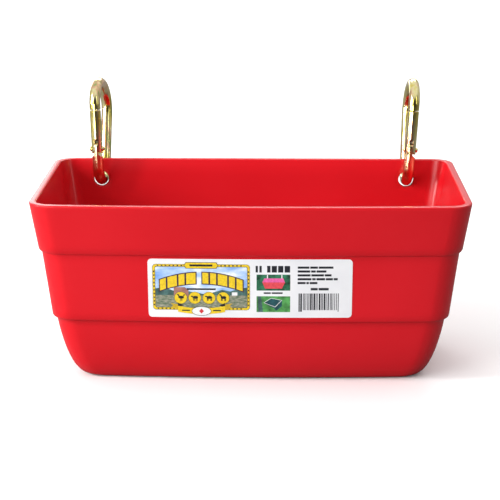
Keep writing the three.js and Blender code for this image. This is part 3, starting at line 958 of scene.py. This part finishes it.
def gate_rod():
    """The gate: a round rod with a slotted, rounded foot, a blind bore and a latch tongue."""
    radius = WIRE / 2
    outline = [(radius + 0.1, GATE_TOP + 10), (-radius - 0.1, GATE_TOP + 10)]
    outline += arc((0, radius + 0.1 - GATE_FOOT), radius + 0.1, 180, 360, 28)
    rod = [(radius, -GATE_FOOT - 1), (radius, GATE_TOP - 0.3), (radius - 0.3, GATE_TOP)]
    steps = [("INTERSECT", slab(outline, 2 * WIRE))]
    half_slot = SLOT["width"] / 2
    steps.append(("DIFFERENCE", block((-WIRE, WIRE), (-half_slot, half_slot), (-WIRE, SLOT["top"]))))
    bore = BORE["diameter"] / 2
    steps.append(("DIFFERENCE", turned([(bore, SLOT["top"] - 1), (bore, BORE["top"])], 32)))
    hole = RIVET["shaft"] / 2 + GAP
    steps.append(("DIFFERENCE", turned([(hole, -WIRE), (hole, WIRE)], 32, "y")))
    seat = RIVET["head"] / 2 + GAP
    for ends in ((-WIRE, -RIVET["seat"]), (RIVET["seat"], WIRE)):
        steps.append(("DIFFERENCE", turned([(seat, ends[0]), (seat, ends[1])], 32, "y")))
    half = LATCH["width"] / 2
    along_gate = (GATE_TOP - 1, GATE_TOP + LATCH["length"])
    latch = block((LATCH["inner"], LATCH["outer"]), (-half, half), along_gate)
    steps.append(("UNION", latch))
    return at_gate(worked(turned(rod, 48), steps, bevel=0.18))


def rivet():
    """A staked rivet with two domed heads."""
    seat = RIVET["seat"] + GAP
    crown = seat + RIVET["head_height"]
    radius = RIVET["head"] / 2
    rise = 1.3
    angles = [math.radians(degrees) for degrees in range(0, 86, 12)]
    dome = [(radius * math.cos(a), crown - rise + rise * math.sin(a)) for a in angles]
    half = [(RIVET["shaft"] / 2, seat), (radius - 0.12, seat), (radius, seat + 0.12), *dome]
    profile = [(r, -y) for r, y in reversed(half)] + half
    return at_gate(turned(profile, 32, "y"))


def plunger():
    low = TONGUE["top"] + GAP
    radius = PLUNGER["diameter"] / 2
    high = low + PLUNGER["length"]
    profile = [(radius * 0.6, low), (radius * 0.86, low + 0.18), (radius, low + 0.6)]
    profile += [(radius, high - 0.15), (radius - 0.15, high)]
    return at_gate(turned(profile, 28))


def spring():
    """A helix of round wire between the plunger and the end of the bore."""
    low, high = SPRING_LOW + SPRING["wire"] / 2, SPRING_HIGH - SPRING["wire"] / 2
    bm = bmesh.new()
    rings = []
    steps, sides = SPRING["turns"] * 24, 10
    for i in range(steps + 1):
        angle = 2 * math.pi * SPRING["turns"] * i / steps
        out = Vector((math.cos(angle), math.sin(angle), 0))
        centre = out * SPRING["radius"] + Vector((0, 0, low + (high - low) * i / steps))
        ring = []
        for k in range(sides):
            turn = 2 * math.pi * k / sides
            way = out * math.cos(turn) + Vector((0, 0, math.sin(turn)))
            ring.append(centre + way * SPRING["wire"] / 2)
        rings.append(ring)
    add_rings(bm, rings)
    bmesh.ops.recalc_face_normals(bm, faces=bm.faces)
    return at_gate(bm)


def placed(bm, side):
    bmesh.ops.transform(bm, matrix=clip_place(side), verts=bm.verts)
    return bm


def squeeze(coil):
    """Gives the coil its own copy of its mesh."""
    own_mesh(coil)


def clip_piece(side, name, bm, material, body, node):
    """One piece of a clip, standing for the CAD node of the same job."""
    return piece(f"{side}_{name}", placed(bm, side), [material], f"{side}_{body}", [f"{side}_{node}"])


for side in ("left", "right"):
    clip_piece(side, "hook_wire", hook_wire(), ZINC, "clip", "hook")
    clip_piece(side, "rivet", rivet(), ZINC, "clip", "gate_rivet")
    clip_piece(side, "gate_rod", gate_rod(), ZINC, "gate", "gate")
    coil = clip_piece(side, "coil_spring", spring(), STEEL, "gate", "gate_spring")
    squeeze(coil)
    clip_piece(side, "plunger_pin", plunger(), STEEL, "plunger", "gate_plunger")


# ------------------------------------------------------------------ stage, light and camera


def floor():
    """White to the camera, and darker to bounced light, which keeps the lower walls from washing out."""
    bm = bmesh.new()
    bmesh.ops.create_grid(bm, x_segments=8, y_segments=8, size=14)
    mesh = bpy.data.meshes.new("floor")
    bm.to_mesh(mesh)
    bm.free()
    obj = bpy.data.objects.new("floor", mesh)
    obj.location.z = -0.0004
    bpy.context.scene.collection.objects.link(obj)
    n = Nodes("floor_white")
    along = n.add("ShaderNodeSeparateXYZ", {0: n.place}).outputs["Y"]
    bounce = n.range(along, 0.05, 0.2, -0.8, 0.0)
    seen = n.add("ShaderNodeLightPath").outputs["Is Camera Ray"]
    tone = n.add("ShaderNodeMix", {"Factor": seen, "A": bounce, "B": 0.94}).outputs["Result"]
    n.set(Base_Color=tone, Roughness=0.8)
    mesh.materials.append(n.material)


def softbox(name, place, aim, size, power):
    light = bpy.data.lights.new(name, "AREA")
    light.shape = "RECTANGLE"
    light.size, light.size_y = size
    light.energy = power
    obj = bpy.data.objects.new(name, light)
    obj.location = place
    way = Vector(aim) - Vector(place)
    obj.rotation_euler = way.to_track_quat("-Z", "Y").to_euler()
    bpy.context.scene.collection.objects.link(obj)


def studio_world():
    """A pale room, dim on the front side, so that bright metal has something dark to show.

    The camera itself sees the same pale tone all round."""
    world = bpy.data.worlds.new("studio")
    world.use_nodes = True
    tree = world.node_tree
    place = tree.nodes.new("ShaderNodeTexCoord")
    split = tree.nodes.new("ShaderNodeSeparateXYZ")
    tree.links.new(place.outputs["Generated"], split.inputs[0])

    def ramp(source, low, high, start, end):
        node = tree.nodes.new("ShaderNodeMapRange")
        node.interpolation_type = "SMOOTHSTEP"
        tree.links.new(source, node.inputs["Value"])
        for key, value in (("From Min", low), ("From Max", high), ("To Min", start), ("To Max", end)):
            if isinstance(value, bpy.types.NodeSocket):
                tree.links.new(value, node.inputs[key])
            else:
                node.inputs[key].default_value = value
        return node.outputs["Result"]

    around = ramp(split.outputs["Y"], -0.9, 0.3, 0.05, 0.6)
    level = ramp(split.outputs["Z"], 0.35, 0.8, around, 1.0)
    seen = tree.nodes.new("ShaderNodeLightPath").outputs["Is Camera Ray"]
    tree.links.new(ramp(seen, 0, 1, level, 0.9), tree.nodes["Background"].inputs["Color"])
    bpy.context.scene.world = world


def camera():
    """Slightly right of the middle, looking a little down, as a long lens sees it."""
    data = bpy.data.cameras.new("camera")
    data.sensor_width = 36
    data.lens = 122.4
    data.clip_end = 50
    obj = bpy.data.objects.new("camera", data)
    obj.location = (0.0181, -1.1482, 0.3702)
    obj.rotation_euler = (math.radians(90 - 14.393), 0, math.radians(0.966))
    bpy.context.scene.collection.objects.link(obj)
    bpy.context.scene.camera = obj


floor()
studio_world()
softbox("key", (-1.3, -1.35, 0.8), (0, 0, 0.08), (0.9, 0.8), 17)
softbox("low", (-0.9, -1.5, 0.16), (0, 0, 0.09), (0.9, 0.16), 12)
softbox("left", (-1.5, -0.45, 0.6), (0, 0, 0.12), (0.16, 1.0), 24)
softbox("card", (-1.7, -0.7, 0.75), (0, 0, 0.12), (1.2, 1.2), 6)
softbox("back", (-0.75, 1.5, 0.5), (0, 0, 0.12), (0.9, 0.5), 4)
softbox("backdrop", (0, 2.6, 1.8), (0, 1.5, 0), (2.0, 1.0), 40)
softbox("fill", (1.4, -1.1, 0.8), (0, 0, 0.08), (0.3, 1.0), 3.2)
camera()
bpy.context.scene.view_settings.view_transform = "Standard"
